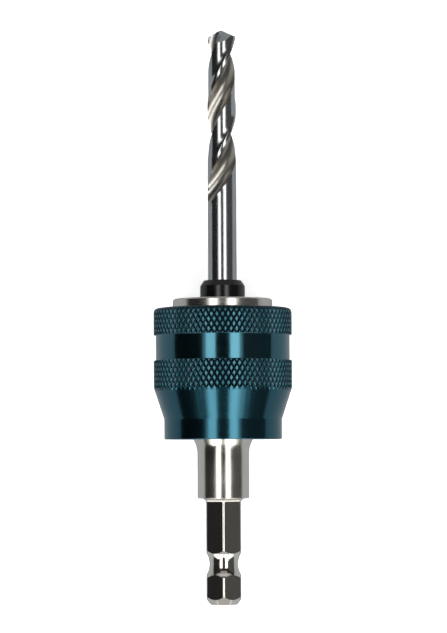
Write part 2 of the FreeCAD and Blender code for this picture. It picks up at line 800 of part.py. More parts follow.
def make_drill():
    """Twist drill with two flutes, ground margins, a split point and a hexagon tail.

    The tail's corners are what is left of the round shank.
    """
    total = named("drill_length")
    tail = named("tail_length")

    # Hexagon tail, rounded to the shank's diameter, bevelled and grooved for the lock balls
    prism = doc.addObject("Part::Prism", "tail_hexagon")
    prism.Polygon = 6
    prism.setExpression("Circumradius", drill_radius.formula)
    prism.setExpression("Height", tail.formula)
    bevel = named("tail_bevel")
    envelope = doc.addObject("Part::Cone", "tail_envelope")
    envelope.setExpression("Radius1", (drill_radius - bevel).formula)
    envelope.setExpression("Radius2", (drill_radius + tail - bevel).formula)
    envelope.setExpression("Height", tail.formula)
    bevelled = boolean("Part::Common", "tail_bevelled", prism, envelope)
    groove_bottom = drill_ball_centre - drill_ball_radius - named("tail_groove_gap")
    hollow = drill_ball_radius + named("tail_groove_ease")
    lock_groove = doc.addObject("Part::Torus", "tail_groove")
    lock_groove.setExpression("Radius1", (groove_bottom + hollow).formula)
    lock_groove.setExpression("Radius2", hollow.formula)
    lock_groove.setExpression("Placement.Base.z", named("drill_ball_height").formula)
    grooved = boolean("Part::Cut", "tail_grooved", bevelled, lock_groove)
    start = named("flute_start")
    shank = cylinder("drill_shank", drill_radius, start - tail, (ZERO, ZERO, tail))

    # Twisted part, overlong so that the point can be ground from it
    relief_start = named("relief_start").value
    run_in = named("flute_run_in")
    blank_end = (total + named("grinding_stock")).value
    collar = cylinder("flute_collar", drill_radius, run_in, (ZERO, ZERO, start))
    lower = lofted_flutes("flutes_unrelieved", (start + run_in).value, relief_start, False)
    upper = lofted_flutes("flutes_relieved", relief_start, blank_end, True)

    # Two flanks, each falling away behind its lip, and the steeper facets that split the point
    slope = 90 - named("point_angle").value / 2
    lip_direction = math.degrees(flute_angle(total.value)) - named("flute_opening").value / 2
    apex = Vector(0, 0, total.value)
    block_size = named("drill_diameter").value * 3
    blocks = []
    for index, side in enumerate((0, 180)):
        facing = Rotation(Vector(0, 0, 1), lip_direction + side)
        lean = Rotation(Vector(0, 1, 0), slope).multiply(Rotation(Vector(1, 0, 0), named("lip_relief").value))
        flank = Placement(apex, facing.multiply(lean))
        blocks.append(grinding_block(f"point_flank_{index + 1}", flank, block_size))
        past_lip = Placement(apex, facing.multiply(Rotation(Vector(0, 0, 1), -named("heel_turn").value)))
        steep = Rotation(Vector(1, 0, 0), named("heel_relief").value)
        heel = past_lip.multiply(Placement(Vector(0, -named("heel_offset").value, 0), steep))
        blocks.append(grinding_block(f"point_heel_{index + 1}", heel, block_size))

    pieces = doc.addObject("Part::MultiFuse", "drill_blank")
    pieces.Shapes = [grooved, shank, collar, lower, upper]
    shape = pieces
    for index, block in enumerate(blocks):
        shape = boolean("Part::Cut", f"point_ground_{index + 1}", shape, block)
    shape.Label = "pilot_drill"
    shape.Placement = place_on_axis(drill_at)
    return shape


sub_parts = [
    make_mandrel(),
    make_sleeve(),
    make_bush(),
    make_washer(),
    make_retaining_ring(),
    make_spring(),
    make_drill(),
]
for index in range(SAW_BALLS):
    angle = 90 + 360 / SAW_BALLS * index
    name = f"saw_lock_ball_{index + 1}"
    sub_parts.append(make_ball(name, saw_ball_radius, saw_ball_centre, saw_ball_at, angle))
for index in range(DRILL_BALLS):
    angle = 360 / DRILL_BALLS * index
    name = f"drill_lock_ball_{index + 1}"
    sub_parts.append(make_ball(name, drill_ball_radius, drill_ball_centre, drill_ball_at, angle))

doc.recompute()
failed = [item.Name for item in doc.Objects if "Invalid" in item.State or "Error" in item.State]
if failed:
    raise RuntimeError(f"these objects did not build: {failed}")
for piece in sub_parts:
    if piece.Shape.isNull() or not piece.Shape.isValid() or not piece.Shape.Solids:
        raise RuntimeError(f"{piece.Label} has no sound solid")

os.makedirs("parts", exist_ok=True)
for piece in sub_parts:
    piece.Shape.exportStep(f"parts/{piece.Label}.step")
    print(piece.Label, "solids", len(piece.Shape.Solids), "volume", round(piece.Shape.Volume, 2))
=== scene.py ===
# Quick-change hole saw arbor, lying on its release sleeve with its axis along X.
# Every piece is drawn as on a lathe: stations and radii in millimetres, counted from the shank's
# end and from the axis, with angles counted from straight down.

import math

import bmesh
import bpy
from mathutils import Matrix, Vector


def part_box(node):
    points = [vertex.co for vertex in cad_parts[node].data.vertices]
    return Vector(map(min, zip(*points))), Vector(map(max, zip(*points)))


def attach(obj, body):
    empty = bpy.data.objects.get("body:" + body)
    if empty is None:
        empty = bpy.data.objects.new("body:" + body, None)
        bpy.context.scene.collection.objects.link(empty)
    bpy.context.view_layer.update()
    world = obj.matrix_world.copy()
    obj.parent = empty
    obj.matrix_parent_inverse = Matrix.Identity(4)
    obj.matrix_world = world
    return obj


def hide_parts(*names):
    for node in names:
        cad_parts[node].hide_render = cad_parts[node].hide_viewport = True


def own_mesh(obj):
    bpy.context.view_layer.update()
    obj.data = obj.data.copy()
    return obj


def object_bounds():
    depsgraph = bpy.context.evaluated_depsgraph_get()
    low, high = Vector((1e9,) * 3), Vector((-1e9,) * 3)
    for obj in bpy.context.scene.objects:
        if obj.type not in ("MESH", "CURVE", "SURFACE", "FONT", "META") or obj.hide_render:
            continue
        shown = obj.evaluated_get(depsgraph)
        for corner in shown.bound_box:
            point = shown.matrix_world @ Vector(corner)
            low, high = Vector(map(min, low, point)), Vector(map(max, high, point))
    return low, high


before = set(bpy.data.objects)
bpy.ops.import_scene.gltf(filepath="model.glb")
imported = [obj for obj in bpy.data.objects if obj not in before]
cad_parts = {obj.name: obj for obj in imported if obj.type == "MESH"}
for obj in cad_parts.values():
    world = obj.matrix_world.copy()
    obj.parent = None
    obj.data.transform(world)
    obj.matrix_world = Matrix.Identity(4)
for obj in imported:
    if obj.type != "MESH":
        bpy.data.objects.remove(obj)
cad_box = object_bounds()

MM = 0.001
TURN = 2 * math.pi
shank_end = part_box("mandrel_body")[0].x

# From one corner of a hexagon to the next, and to the middle of the flat between them
NEXT_CORNER = math.radians(60)
NEXT_FLAT = math.radians(30)

# Columns round every turned piece: fine round the hexagon's corners, even across its flats
HEX_FLAT = 4.35
HEX_ROUNDING = 0.75
CORNER_COLUMNS = 8
FLAT_COLUMNS = 28

# Rounding that a turned edge keeps after polishing
TURNED_EDGE = 0.06

# Edges that turn further than this show as sharp
SMOOTH_LIMIT = math.radians(24)

# Points nearer to each other than this, in metres, become one
WELD = 0.0005 * MM

HOLE_SIDES = 48


def point(station, radius, angle):
    """A point in the arbor's frame, in metres."""
    across = radius * math.sin(angle) * MM
    up = -radius * math.cos(angle) * MM
    return Vector((shank_end + station * MM, across, up))


def hexagon(flat, rounding=0.0):
    """Radius of a hexagon with rounded corners, for an angle from a corner."""
    centre = (flat - rounding) / math.cos(NEXT_FLAT)

    def radius(angle):
        off_corner = abs((angle + NEXT_FLAT) % NEXT_CORNER - NEXT_FLAT)
        if rounding and off_corner < corner_reach(flat, rounding):
            aside = centre * math.sin(off_corner)
            return centre * math.cos(off_corner) + math.sqrt(rounding**2 - aside**2)
        return flat / math.cos(NEXT_FLAT - off_corner)

    return radius


def corner_reach(flat, rounding):
    """Angle from a rounded corner's middle to where its flat begins."""
    centre = (flat - rounding) / math.cos(NEXT_FLAT)
    aside = rounding * math.sin(NEXT_FLAT)
    return math.atan2(aside, centre + rounding * math.cos(NEXT_FLAT))


def column_angles():
    reach = corner_reach(HEX_FLAT, HEX_ROUNDING)
    flat_span = NEXT_CORNER - 2 * reach
    angles = []
    for corner in range(6):
        middle = NEXT_CORNER * corner
        angles += [middle - reach + 2 * reach * step / CORNER_COLUMNS for step in range(CORNER_COLUMNS)]
        flat_start = middle + reach
        angles += [flat_start + flat_span * step / FLAT_COLUMNS for step in range(FLAT_COLUMNS)]
    return angles


COLUMNS = column_angles()


def even_angles(count):
    return [TURN * step / count for step in range(count)]


def fixed(station, radius):
    """A row that is round and level."""
    return lambda angle: (station, radius)


def eased(corners, closed=False, steps=4):
    """Rows through (station, radius, rounding) corners, with each rounding drawn as an arc."""
    rows = []
    last = len(corners) - 1
    for index, (station, radius, rounding) in enumerate(corners):
        at_end = not closed and index in (0, last)
        if not rounding or at_end:
            rows.append(fixed(station, radius))
            continue
        here = Vector((station, radius))
        back = (Vector(corners[index - 1][:2]) - here).normalized()
        onward = (Vector(corners[(index + 1) % len(corners)][:2]) - here).normalized()
        half = back.angle(onward) / 2
        reach = rounding / math.tan(half)
        centre = here + (back + onward).normalized() * (rounding / math.sin(half))
        first = here + back * reach - centre
        final = here + onward * reach - centre
        sweep = first.angle(final)
        for step in range(steps + 1):
            share = step / steps
            spoke = first * math.sin((1 - share) * sweep) + final * math.sin(share * sweep)
            corner = centre + spoke / math.sin(sweep)
            rows.append(fixed(corner.x, corner.y))
    return rows


def groove(outside, station, floor, hollow, steps):
    """Rows of a round groove with this floor radius and hollow, cut into a shape."""
    centre = floor + hollow

    def groove_row(share):
        def row(angle):
            reach = math.acos((centre - outside(angle)) / hollow) * share
            return station + hollow * math.sin(reach), centre - hollow * math.cos(reach)

        return row

    return [groove_row(step / steps) for step in range(-steps, steps + 1)]


def lofted(places, closed=False):
    """A closed mesh through rings of places, capped at both ends unless the last meets the first."""
    form = bmesh.new()
    rings = [[form.verts.new(place) for place in ring] for ring in places]
    pairs = list(zip(rings, rings[1:]))
    if closed:
        pairs.append((rings[-1], rings[0]))
    else:
        form.faces.new(rings[0])
        form.faces.new(rings[-1])
    for lower, upper in pairs:
        for index in range(len(lower)):
            form.faces.new((lower[index - 1], lower[index], upper[index], upper[index - 1]))
    bmesh.ops.remove_doubles(form, verts=form.verts, dist=WELD)
    bmesh.ops.recalc_face_normals(form, faces=form.faces)
    return form


def skin(rows, angles, closed=False):
    """A closed mesh through rows, each of which gives a station and a radius for an angle."""
    return lofted([[point(*row(angle), angle) for angle in angles] for row in rows], closed)


def placed(name, form):
    mesh = bpy.data.meshes.new(name)
    form.to_mesh(mesh)
    form.free()
    piece = bpy.data.objects.new(name, mesh)
    bpy.context.scene.collection.objects.link(piece)
    return piece


def new_piece(name, form, material):
    piece = placed(name, form)
    piece.data.materials.append(material)
    shade(piece.data)
    return piece


def shade(mesh, limit=SMOOTH_LIMIT):
    """Smooth shading that stops at real edges."""
    mesh.shade_smooth()
    mesh.set_sharp_from_angle(angle=limit)


def apply_modifiers(piece):
    evaluated = piece.evaluated_get(bpy.context.evaluated_depsgraph_get())
    mesh = bpy.data.meshes.new_from_object(evaluated)
    old = piece.data
    piece.modifiers.clear()
    piece.data = mesh
    mesh.name = piece.name
    bpy.data.meshes.remove(old)


def combine(piece, other, operation, limit=SMOOTH_LIMIT):
    """Joins another piece to this one or cuts it away, and takes the other out of the scene."""
    change = piece.modifiers.new("combine", "BOOLEAN")
    change.operation = operation
    change.solver = "EXACT"
    change.object = other
    apply_modifiers(piece)
    mesh = other.data
    bpy.data.objects.remove(other)
    bpy.data.meshes.remove(mesh)
    shade(piece.data, limit)


def cut_holes(piece, holes):
    """Cuts round holes, given as (station, from radius, to radius, hole radius, angle)."""
    drills = bmesh.new()
    for station, inner, outer, radius, angle in holes:
        middle = point(station, (inner + outer) / 2, angle)
        outward = (point(station, 1, angle) - point(station, 0, angle)).normalized()
        turn = outward.to_track_quat("Z", "X").to_matrix().to_4x4()
        bmesh.ops.create_cone(
            drills,
            cap_ends=True,
            segments=HOLE_SIDES,
            radius1=radius * MM,
            radius2=radius * MM,
            depth=(outer - inner) * MM,
            matrix=Matrix.Translation(middle) @ turn,
        )
    combine(piece, placed("drills", drills), "DIFFERENCE")


# Finishes


def feed(tree, socket, source):
    """Links a socket to a node's output, or sets it to a value."""
    if isinstance(source, bpy.types.NodeSocket):
        tree.links.new(source, socket)
    else:
        socket.default_value = source


def add_maths(tree, operation, *sources):
    node = tree.nodes.new("ShaderNodeMath")
    node.operation = operation
    for socket, source in zip(node.inputs, sources):
        feed(tree, socket, source)
    return node.outputs[0]


class Finish:
    """A material under construction, with a Principled shader and the piece's own coordinates."""

    def __init__(self, name, **settings):
        self.material = bpy.data.materials.new(name)
        self.material.use_nodes = True
        self.tree = self.material.node_tree
        self.tree.nodes.clear()
        self.shader = self.tree.nodes.new("ShaderNodeBsdfPrincipled")
        self.output = self.tree.nodes.new("ShaderNodeOutputMaterial")
        self.tree.links.new(self.shader.outputs["BSDF"], self.output.inputs["Surface"])
        for setting, value in settings.items():
            self.shader.inputs[setting.replace("_", " ")].default_value = value
        self.place = self.tree.nodes.new("ShaderNodeTexCoord").outputs["Object"]
        split = self.tree.nodes.new("ShaderNodeSeparateXYZ")
        self.tree.links.new(self.place, split.inputs[0])
        self.along = split.outputs["X"]
        across = self.maths("MULTIPLY", split.outputs["Y"], split.outputs["Y"])
        up = self.maths("MULTIPLY", split.outputs["Z"], split.outputs["Z"])
        self.radius = self.maths("SQRT", self.maths("ADD", across, up))

    def maths(self, operation, *sources):
        return add_maths(self.tree, operation, *sources)

    def spread(self, source, to_low, to_high, from_low=0.3, from_high=0.7):
        """Maps a range, a noise's usual one unless given, to another, held at its ends."""
        node = self.tree.nodes.new("ShaderNodeMapRange")
        for socket, value in zip(node.inputs, (source, from_low, from_high, to_low, to_high)):
            feed(self.tree, socket, value)
        return node.outputs[0]

    def past(self, station, blur=0.02):
        """0 before a station and 1 after it."""
        middle = shank_end + station * MM
        return self.spread(self.along, 0.0, 1.0, middle - blur * MM, middle + blur * MM)

    def before(self, station):
        """1 before a station and 0 after it."""
        return self.maths("SUBTRACT", 1.0, self.past(station))

    def band(self, first, last):
        """1 between two stations and 0 elsewhere."""
        return self.maths("SUBTRACT", self.past(first), self.past(last))

    def noise(self, size, detail=3.0, roughness=0.5, stretch=(1, 1, 1)):
        """Cloudy variation with features of about this size, in millimetres."""
        mapping = self.tree.nodes.new("ShaderNodeMapping")
        mapping.inputs["Scale"].default_value = stretch
        self.tree.links.new(self.place, mapping.inputs["Vector"])
        node = self.tree.nodes.new("ShaderNodeTexNoise")
        node.inputs["Scale"].default_value = 1 / (size * MM)
        node.inputs["Detail"].default_value = detail
        node.inputs["Roughness"].default_value = roughness
        self.tree.links.new(mapping.outputs[0], node.inputs["Vector"])
        return node.outputs["Fac"]

    def tool_marks(self, pitch, detail=3.0):
        """Fine rings left by turning, with this pitch in millimetres."""
        node = self.tree.nodes.new("ShaderNodeTexNoise")
        node.noise_dimensions = "1D"
        node.inputs["Scale"].default_value = 1 / (pitch * MM)
        node.inputs["Detail"].default_value = detail
        self.tree.links.new(self.along, node.inputs["W"])
        return node.outputs["Fac"]

    def blend(self, share, *ends):
        """A number or colour that goes from the first end to the second."""
        node = self.tree.nodes.new("ShaderNodeMix")
        colours = any(isinstance(end, tuple) or getattr(end, "type", "") == "RGBA" for end in ends)
        node.data_type = "RGBA" if colours else "FLOAT"
        sockets = [socket for socket in node.inputs if socket.enabled]
        opaque = [(*end, 1.0) if isinstance(end, tuple) else end for end in ends]
        for socket, source in zip(sockets, (share, *opaque)):
            feed(self.tree, socket, source)
        return next(socket for socket in node.outputs if socket.enabled)

    def bump(self, height, depth, strength=0.5):
        """Relief of this depth, in millimetres."""
        node = self.tree.nodes.new("ShaderNodeBump")
        node.inputs["Strength"].default_value = strength
        node.inputs["Distance"].default_value = depth * MM
        self.tree.links.new(height, node.inputs["Height"])
        self.tree.links.new(node.outputs["Normal"], self.shader.inputs["Normal"])

    def link(self, name, source):
        self.tree.links.new(source, self.shader.inputs[name])


HEAD_STATION = 73.0
BARREL_STATION = 26.3

# How much of the relief the rings off the head and the drawn streaks have
RINGS_OFF_HEAD = 0.25
STREAK_SHARE = 0.6


def nickel_plate():
    """Bright plate: drawn flats on the shank, a polished barrel and a satin turned head."""
    finish = Finish("nickel_plate", Metallic=1.0)
    head = finish.past(HEAD_STATION)
    shank = finish.before(BARREL_STATION)
    clouds = finish.noise(6.0)
    drawn = finish.noise(0.5, roughness=0.6, stretch=(0.06, 1, 1))
    rings = finish.tool_marks(0.09)
    warm = finish.blend(clouds, (0.67, 0.635, 0.57), (0.73, 0.7, 0.64))
    finish.link("Base Color", finish.blend(head, warm, (0.68, 0.645, 0.59)))
    polished = finish.spread(clouds, 0.17, 0.24)
    on_shank = finish.spread(drawn, 0.1, 0.18, from_high=0.75)
    on_head = finish.spread(rings, 0.19, 0.27)
    finish.link("Roughness", finish.blend(head, finish.blend(shank, polished, on_shank), on_head))
    marks = finish.maths("MULTIPLY", rings, finish.blend(head, RINGS_OFF_HEAD, 1.0))
    streaks = finish.maths("MULTIPLY", finish.maths("MULTIPLY", drawn, shank), STREAK_SHARE)
    finish.bump(finish.maths("ADD", marks, streaks), depth=0.0016, strength=0.6)
    return finish.material


REAR_BAND_AT = 53.9
WAIST_FROM = 60.75
WAIST_TO = 67.1
CREST_RADIUS = 17.25
ROOT_RADIUS = 16.98

# How closely the knurl's lighter colour keeps to its crests: partly wear, partly painted shade that
# darkens its grooves and facets
CREST_WEAR_AND_GROOVE_SHADE = 4.0

# How much of the relief the turning marks and the knurl's grain have
RING_SHARE = 0.6
GRAIN_SHARE = 0.5


def blue_anodising():
    """Clear-coated blue: bright on the polished band, satin on the knurl, finely turned behind it. The
    knurl's crests are lighter with wear and its grooves darker with painted shade.
    """
    finish = Finish("blue_anodising", Metallic=1.0, Coat_Weight=0.2, Coat_Roughness=0.1, Coat_IOR=1.6)
    waist = finish.band(WAIST_FROM, WAIST_TO)
    on_grip = finish.past(REAR_BAND_AT)
    clouds = finish.noise(5.0)
    fine = finish.noise(0.25)
    rings = finish.tool_marks(0.12)
    height_for_wear_and_shade = finish.spread(finish.radius, 0.0, 1.0, ROOT_RADIUS * MM, CREST_RADIUS * MM)
    cone = finish.blend(clouds, (0.022, 0.098, 0.135), (0.028, 0.115, 0.155))
    worn = finish.blend(fine, (0.05, 0.165, 0.21), (0.09, 0.25, 0.31))
    # Painted shade: the knurl's grooves and facets get a near-black blue, and only its crests keep the
    # lighter worn colour
    knurled = finish.blend(finish.maths("POWER", height_for_wear_and_shade, CREST_WEAR_AND_GROOVE_SHADE), (0.009, 0.037, 0.052), worn)
    off_waist = finish.blend(on_grip, cone, knurled)
    finish.link("Base Color", finish.blend(waist, off_waist, (0.04, 0.135, 0.175)))
    satin = finish.spread(fine, 0.36, 0.46)
    cone_marks = finish.spread(rings, 0.15, 0.21)
    polished = finish.spread(clouds, 0.12, 0.16)
    finish.link("Roughness", finish.blend(waist, finish.blend(on_grip, cone_marks, satin), polished))
    grain = finish.maths("MULTIPLY", finish.maths("MULTIPLY", fine, on_grip), GRAIN_SHARE)
    relief = finish.maths("ADD", finish.maths("MULTIPLY", rings, RING_SHARE), grain)
    finish.bump(relief, depth=0.0022)
    return finish.material


def black_oxide():
    """Oiled black steel with fine turning marks."""
    finish = Finish("black_oxide", Metallic=0.2, Specular_IOR_Level=0.55)
    rings = finish.tool_marks(0.1)
    clouds = finish.noise(2.5)
    finish.link("Base Color", finish.blend(clouds, (0.007, 0.007, 0.009), (0.014, 0.014, 0.016)))
    finish.link("Roughness", finish.spread(rings, 0.17, 0.26))
    finish.bump(rings, depth=0.003)
    return finish.material


DRILL_RADIUS = 3.575
BODY_CLEARANCE = 0.22
POINT_STATION = 141.0

# The flutes' finish starts this far below the land and is full after as much again
FLUTE_EDGE = 0.04


def ground_tool_steel():
    """Ground shank and margins, with satin flutes that are a little warmer up to the point."""
    finish = Finish("ground_tool_steel", Metallic=1.0)
    rings = finish.tool_marks(0.06)
    streaks = finish.noise(0.35, roughness=0.6, stretch=(0.12, 1, 1))
    clouds = finish.noise(3.0)
    flute_top = DRILL_RADIUS - BODY_CLEARANCE - FLUTE_EDGE
    below_land = finish.spread(finish.radius, 1.0, 0.0, (flute_top - FLUTE_EDGE) * MM, flute_top * MM)
    flute = finish.maths("MULTIPLY", below_land, finish.before(POINT_STATION))
    bright = finish.blend(clouds, (0.46, 0.465, 0.47), (0.52, 0.525, 0.53))
    finish.link("Base Color", finish.blend(flute, bright, (0.47, 0.445, 0.4)))
    ground = finish.spread(rings, 0.165, 0.225)
    milled = finish.spread(streaks, 0.29, 0.33)
    finish.link("Roughness", finish.blend(below_land, ground, milled))
    relief = finish.blend(below_land, rings, finish.maths("MULTIPLY", streaks, STREAK_SHARE))
    finish.bump(relief, depth=0.0008)
    return finish.material


def spring_steel():
    finish = Finish("spring_steel", Metallic=1.0)
    clouds = finish.noise(1.5)
    finish.link("Base Color", finish.blend(clouds, (0.22, 0.22, 0.225), (0.34, 0.335, 0.33)))
    finish.link("Roughness", finish.spread(clouds, 0.28, 0.42))
    finish.bump(finish.noise(0.2, detail=2.0), depth=0.004)
    return finish.material


def ball_steel():
    finish = Finish("ball_steel", Metallic=1.0)
    clouds = finish.noise(1.0, detail=2.0)
    finish.link("Base Color", finish.blend(clouds, (0.62, 0.62, 0.63), (0.7, 0.7, 0.7)))
    finish.link("Roughness", finish.spread(clouds, 0.07, 0.12))
    return finish.material


PAPER_GREY = (0.5, 0.53, 0.55, 1.0)


def studio_white():
    """White paper. What the pieces reflect of it is greyer, as paper that falls away into the dark."""
    finish = Finish(
        "studio_white",
        Roughness=0.9,
        Specular_IOR_Level=0.1,
        Emission_Color=(1.0, 1.0, 1.0, 1.0),
        Emission_Strength=0.72,
    )
    clouds = finish.noise(400.0, detail=2.0)
    finish.link("Base Color", finish.blend(clouds, (0.9, 0.9, 0.9), (0.92, 0.92, 0.92)))
    grey = finish.tree.nodes.new("ShaderNodeBsdfDiffuse")
    grey.inputs["Color"].default_value = PAPER_GREY
    paths = finish.tree.nodes.new("ShaderNodeLightPath")
    choice = finish.tree.nodes.new("ShaderNodeMixShader")
    finish.tree.links.new(paths.outputs["Is Camera Ray"], choice.inputs[0])
    finish.tree.links.new(grey.outputs[0], choice.inputs[1])
    finish.tree.links.new(finish.shader.outputs[0], choice.inputs[2])
    finish.tree.links.new(choice.outputs[0], finish.output.inputs["Surface"])
    return finish.material


# Mandrel

END_BEVEL = 1.0
END_BEVEL_LENGTH = 1.3
CHUCK_GROOVE_STATION = 10.1
CHUCK_GROOVE_DEPTH = 0.78
CHUCK_GROOVE_HOLLOW = 4.8
HEX_LENGTH = 25.2
ROOT_FILLET = 1.2
FILLET_STEPS = 8
BARREL_AT = 26.4
BARREL_RADIUS = 6.45
BARREL_EDGE = 0.2
FLARE_AT = 38.82
FLARE_BLEND = 6.0
NECK_AT = 41.53
NECK_RADIUS = 7.6
NECK_EDGE = 0.3
RING_GROOVE = (44.3, 45.4)
RING_SEAT_RADIUS = 7.2
HEAD_AT = 64.8
HEAD_RADIUS = 12.425
HEAD_EDGE = 0.35
SEAT_AT = 76.1
SOCKET_FLAT = 9.0
SOCKET_MOUTH_RADIUS = 10.69
FLOOR_AT = 67.2
STEM_AT = 64.0
STEM_RADIUS = 4.6
DRILL_STATION = 58.7
PILOT_BORE_RADIUS = 3.7

# Ball holes: from this radius to that one, and their own radius
SAW_BALL_STATION = 69.5
SAW_BALL_HOLE = (8.0, 13.4, 2.03)
DRILL_BALL_STATION = 61.2
DRILL_BALL_HOLE = (2.7, 8.6, 2.4)


def shank_rows():
    """Rows that follow the shank's creases: bevel, flats, ball groove and root fillets."""
    outside = hexagon(HEX_FLAT, HEX_ROUNDING)
    slope = END_BEVEL_LENGTH / END_BEVEL

    def bevel_edge(angle):
        return (outside(angle) - HEX_FLAT + END_BEVEL) * slope, outside(angle)

    def fillet_row(share):
        reach = math.pi / 2 * share
        spread = ROOT_FILLET * (1 - math.cos(reach))
        widened = hexagon(HEX_FLAT + spread, HEX_ROUNDING + spread)
        station = HEX_LENGTH + ROOT_FILLET * math.sin(reach)
        return lambda angle: (station, widened(angle))

    rows = [fixed(0.0, HEX_FLAT - END_BEVEL), bevel_edge]
    groove_floor = HEX_FLAT - CHUCK_GROOVE_DEPTH
    rows += groove(outside, CHUCK_GROOVE_STATION, groove_floor, CHUCK_GROOVE_HOLLOW, steps=10)
    rows += [fillet_row(step / FILLET_STEPS) for step in range(FILLET_STEPS + 1)]
    return rows


def socket_rows():
    """Countersink, hexagon socket, stem seat and blind pilot bore."""
    inside = hexagon(SOCKET_FLAT)

    def mouth_edge(angle):
        return SEAT_AT - (SOCKET_MOUTH_RADIUS - inside(angle)), inside(angle)

    def floor_edge(angle):
        return FLOOR_AT, inside(angle)

    return [
        fixed(SEAT_AT, SOCKET_MOUTH_RADIUS),
        mouth_edge,
        floor_edge,
        fixed(FLOOR_AT, STEM_RADIUS),
        fixed(STEM_AT, STEM_RADIUS),
        fixed(STEM_AT, PILOT_BORE_RADIUS),
        fixed(DRILL_STATION, PILOT_BORE_RADIUS),
    ]


def make_mandrel(material):
    outside = [
        (BARREL_AT, HEX_FLAT + ROOT_FILLET, 0),
        (BARREL_AT, BARREL_RADIUS, BARREL_EDGE),
        (FLARE_AT, BARREL_RADIUS, FLARE_BLEND),
        (NECK_AT, NECK_RADIUS, NECK_EDGE),
        (RING_GROOVE[0], NECK_RADIUS, 0),
        (RING_GROOVE[0], RING_SEAT_RADIUS, 0),
        (RING_GROOVE[1], RING_SEAT_RADIUS, 0),
        (RING_GROOVE[1], NECK_RADIUS, 0),
        (HEAD_AT, NECK_RADIUS, 0),
        (HEAD_AT, HEAD_RADIUS, 0),
        (SEAT_AT - HEAD_EDGE, HEAD_RADIUS, TURNED_EDGE),
        (SEAT_AT, HEAD_RADIUS - HEAD_EDGE, TURNED_EDGE),
        (SEAT_AT, SOCKET_MOUTH_RADIUS, 0),
    ]
    # The first and last corners are rows of the shank and the socket already
    rows = shank_rows() + eased(outside, steps=8)[1:-1] + socket_rows()
    piece = new_piece("mandrel", skin(rows, COLUMNS), material)
    holes = [(SAW_BALL_STATION, *SAW_BALL_HOLE, TURN * (1 / 4 + index / 3)) for index in range(3)]
    holes += [(DRILL_BALL_STATION, *DRILL_BALL_HOLE, TURN * index / 2) for index in range(2)]
    cut_holes(piece, holes)
    return piece


# Pilot bush

BUSH_RADIUS = 5.6
BUSH_TOP = 80.75
BUSH_BEVEL = 0.95
BUSH_BEVEL_LENGTH = 1.4
BUSH_EDGE = 0.12
GUIDE_RADIUS = 3.615
BUSH_MOUTH = 0.35
BUSH_MOUTH_EDGE = 0.04
TAIL_FLAT = 3.136
HEXAGON_END = 70.2

# The drive's corners stay this far inside the guide bore
LEDGE = 0.001


def make_bush(material):
    drive = hexagon(TAIL_FLAT)
    outside = [
        (STEM_AT, STEM_RADIUS, 0),
        (FLOOR_AT, STEM_RADIUS, 0),
        (FLOOR_AT, BUSH_RADIUS, 0),
        (BUSH_TOP - BUSH_BEVEL_LENGTH, BUSH_RADIUS, BUSH_EDGE),
        (BUSH_TOP, BUSH_RADIUS - BUSH_BEVEL, BUSH_EDGE),
        (BUSH_TOP, GUIDE_RADIUS + BUSH_MOUTH, BUSH_MOUTH_EDGE),
        (BUSH_TOP - BUSH_MOUTH, GUIDE_RADIUS, BUSH_MOUTH_EDGE),
        (HEXAGON_END, GUIDE_RADIUS, 0),
    ]

    def drive_row(station):
        return lambda angle: (station, min(drive(angle), GUIDE_RADIUS - LEDGE))

    rows = eased(outside) + [drive_row(HEXAGON_END), drive_row(STEM_AT)]
    return new_piece("bush", skin(rows, COLUMNS, closed=True), material)


# Release sleeve

SLEEVE_AT = 41.05
SKIRT_RADIUS = 14.7
SKIRT_EDGE = 0.3
TAPER_AT = 46.1
REAR_BAND_EDGE = 0.3
WAIST_RADIUS = 16.7
SLEEVE_FRONT = 73.8
FRONT_ROUNDING = 1.1
BAND_EDGE = 0.15
CHAMBER_RADIUS = 12.65
CHAMBER_EDGE = 0.5
WEB_AT = 57.5
WEB_BORE_RADIUS = 7.65
DRILL_CAM_AT = 60.78
HEAD_BORE_RADIUS = 12.475
SAW_CAM_AT = 69.2
SAW_CAM_END = 72.7
CAM_SLOPE = 0.25

# Knurl. The cutter starts ahead of the first knurled row and ends past the sleeve's front.
TEETH = 78
KNURL_PITCH = 2.4
KNURL_LEAD = 1.4
LEAD_ROWS = 11
SPARE_ROWS = 4
TIP_RADIUS = 17.5
CLEAR_RADIUS = 20.0
SLEEVE_COLUMNS = 4 * TEETH


